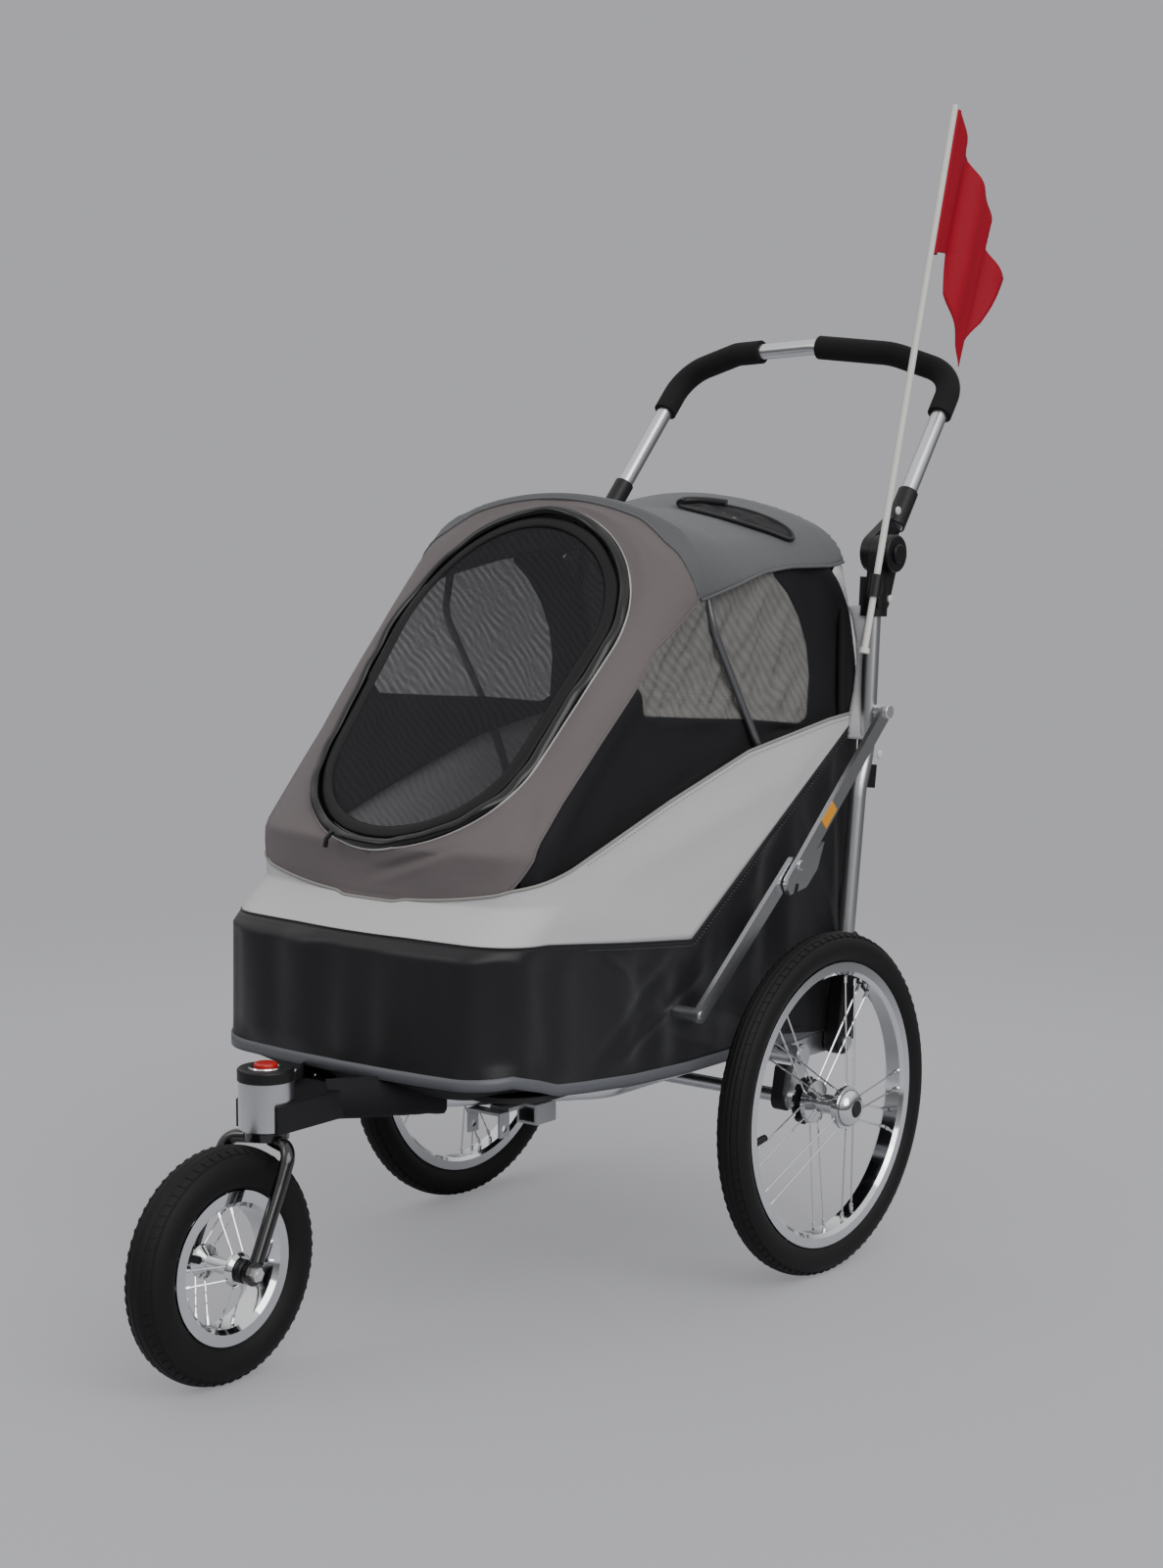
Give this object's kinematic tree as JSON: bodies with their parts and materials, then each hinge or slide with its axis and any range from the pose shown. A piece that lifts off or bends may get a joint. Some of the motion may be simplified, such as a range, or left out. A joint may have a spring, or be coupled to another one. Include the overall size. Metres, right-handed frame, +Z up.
{
  "type": "pet stroller",
  "caption": "Folding three-wheeled pet stroller with a cloth cabin, swivel front wheel, spoked rear wheels, tilting push handle, side links and a safety flag.",
  "frame": {"origin": "on the floor under the middle of the overall length and width", "axes": "+Z up, -Y the way it rolls forwards, +X its left side"},
  "size_m": [0.638, 1.226, 1.3524],
  "materials": {
    "tube_silver": "satin",
    "chrome": "polished",
    "bright_steel": "bright",
    "gloss_black": "gloss",
    "black_plastic": "satin",
    "red_plastic": "gloss",
    "tyre_black": "matte",
    "tube_rubber": "matte",
    "grip_foam": "matte foam",
    "black_cloth": "woven",
    "pale_cloth": "woven",
    "grey_cloth": "woven",
    "black_trim": "taped zip band",
    "mesh": "open mesh",
    "hoop_grey": "satin",
    "board": "matte",
    "cushion_cloth": "soft padded cloth",
    "zinc_steel": "zinc plated",
    "flag_white": "smooth rod",
    "flag_red": "thin woven"
  },
  "bodies": {
    "chassis": {"rails": "tube_silver", "axle_beam": "tube_silver", "axle_pins": "bright_steel", "brake_housings": "black_plastic", "fold_bolts": "bright_steel", "tow_hitch": "zinc_steel", "head_housing": "tube_silver", "head_cap": "black_plastic", "head_connector": "black_plastic", "tub": "black_cloth", "white_band": "pale_cloth", "front_panel": "grey_cloth", "window_frame": "black_trim", "roof_panel": "grey_cloth", "rear_panel": "grey_cloth", "side_panels": "mesh", "floor_board": "board", "cushion": "cushion_cloth", "front_hoop": "hoop_grey", "rear_hoop": "hoop_grey"},
    "fork": {"fork": "gloss_black", "front_axle": "chrome"},
    "front_wheel": {"front_tyre": "tyre_black", "front_inner_tube": "tube_rubber", "front_rim": "chrome", "front_spokes": "chrome", "front_hub": "chrome"},
    "rear_frame": {"uprights": "tube_silver", "upright_fittings": "black_plastic", "joint_lowers": "black_plastic", "pivot_bolts": "bright_steel"},
    "handle": {"handle_tube": "tube_silver", "handle_grips": "grip_foam", "joint_uppers": "black_plastic"},
    "flag": {"flag_pole": "flag_white", "flag_cloth": "flag_red"},
    "door": {"door_border": "black_trim", "door_mesh": "mesh"},
    "steering_button": {"steering_button": "red_plastic"},
    "brake_pedal": {"brake_pedal": "black_plastic"},
    "rear_wheel_left": {"rear_tyre_left": "tyre_black", "rear_inner_tube_left": "tube_rubber", "rear_rim_left": "chrome", "rear_spokes_left": "chrome", "rear_hub_left": "chrome", "brake_disc_left": "black_plastic"},
    "wheel_button_left": {"wheel_button_left": "black_plastic"},
    "joint_button_left": {"joint_button_left": "black_plastic"},
    "lower_link_left": {"lower_link_left": "tube_silver"},
    "upper_link_left": {"upper_link_left": "tube_silver"},
    "rear_wheel_right": {"rear_tyre_right": "tyre_black", "rear_inner_tube_right": "tube_rubber", "rear_rim_right": "chrome", "rear_spokes_right": "chrome", "rear_hub_right": "chrome", "brake_disc_right": "black_plastic"},
    "wheel_button_right": {"wheel_button_right": "black_plastic"},
    "joint_button_right": {"joint_button_right": "black_plastic"},
    "lower_link_right": {"lower_link_right": "tube_silver"},
    "upper_link_right": {"upper_link_right": "tube_silver"}
  },
  "joints": [
    {"name": "fork_steer", "type": "hinge", "parent": "chassis", "child": "fork", "pos_m": [0, -0.419, 0.28], "axis": [0, 0, 1], "continuous": true},
    {"name": "front_wheel_spin", "type": "hinge", "parent": "fork", "child": "front_wheel", "pos_m": [0, -0.488, 0.125], "axis": [1, 0, 0], "continuous": true},
    {"name": "frame_fold", "type": "hinge", "parent": "chassis", "child": "rear_frame", "pos_m": [0, 0.326, 0.248], "axis": [1, 0, 0], "range_deg": [0, 77]},
    {"name": "handle_tilt", "type": "hinge", "parent": "rear_frame", "child": "handle", "pos_m": [0, 0.403, 0.826], "axis": [1, 0, 0], "range_deg": [-30, 60]},
    {"name": "door_open", "type": "hinge", "parent": "chassis", "child": "door", "pos_m": [0, 0.051, 0.8743], "axis": [1, 0, 0], "range_deg": [-100, 0]},
    {"name": "flag_lift", "type": "slide", "parent": "rear_frame", "child": "flag", "axis": [0, 0.2737, 0.9618], "range_m": [0, 0.055]},
    {"name": "steering_button_press", "type": "slide", "parent": "chassis", "child": "steering_button", "axis": [0, 0, -1], "range_m": [0, 0.004], "stiffness_N_per_m": 300, "springref_m": -0.003},
    {"name": "brake_press", "type": "hinge", "parent": "chassis", "child": "brake_pedal", "pos_m": [-0.125, 0.221, 0.2], "axis": [1, 0, 0], "range_deg": [-20, 0]},
    {"name": "rear_wheel_spin_left", "type": "hinge", "parent": "chassis", "child": "rear_wheel_left", "pos_m": [0.2725, 0.221, 0.2], "axis": [1, 0, 0], "continuous": true},
    {"name": "wheel_button_press_left", "type": "slide", "parent": "chassis", "child": "wheel_button_left", "axis": [-1, 0, 0], "range_m": [0, 0.003], "stiffness_N_per_m": 300, "springref_m": -0.003},
    {"name": "joint_button_press_left", "type": "slide", "parent": "rear_frame", "child": "joint_button_left", "axis": [-1, 0, 0], "range_m": [0, 0.004], "stiffness_N_per_m": 300, "springref_m": -0.003},
    {"name": "lower_link_turn_left", "type": "hinge", "parent": "chassis", "child": "lower_link_left", "pos_m": [0.238, 0.021, 0.333], "axis": [1, 0, 0], "range_deg": [0, 185.2]},
    {"name": "upper_link_turn_left", "type": "hinge", "parent": "rear_frame", "child": "upper_link_left", "pos_m": [0.246, 0.384, 0.64], "axis": [1, 0, 0], "range_deg": [-53.2, 0]},
    {"name": "rear_wheel_spin_right", "type": "hinge", "parent": "chassis", "child": "rear_wheel_right", "pos_m": [-0.2725, 0.221, 0.2], "axis": [1, 0, 0], "continuous": true},
    {"name": "wheel_button_press_right", "type": "slide", "parent": "chassis", "child": "wheel_button_right", "axis": [1, 0, 0], "range_m": [0, 0.003], "stiffness_N_per_m": 300, "springref_m": -0.003},
    {"name": "joint_button_press_right", "type": "slide", "parent": "rear_frame", "child": "joint_button_right", "axis": [1, 0, 0], "range_m": [0, 0.004], "stiffness_N_per_m": 300, "springref_m": -0.003},
    {"name": "lower_link_turn_right", "type": "hinge", "parent": "chassis", "child": "lower_link_right", "pos_m": [-0.238, 0.021, 0.333], "axis": [1, 0, 0], "range_deg": [0, 185.2]},
    {"name": "upper_link_turn_right", "type": "hinge", "parent": "rear_frame", "child": "upper_link_right", "pos_m": [-0.246, 0.384, 0.64], "axis": [1, 0, 0], "range_deg": [-53.2, 0]}
  ],
  "couplings": [
    {"joint": "lower_link_turn_left", "follows": "frame_fold", "ratio": 2.404},
    {"joint": "upper_link_turn_left", "follows": "frame_fold", "ratio": -0.69},
    {"joint": "lower_link_turn_right", "follows": "frame_fold", "ratio": 2.404},
    {"joint": "upper_link_turn_right", "follows": "frame_fold", "ratio": -0.69}
  ]
}
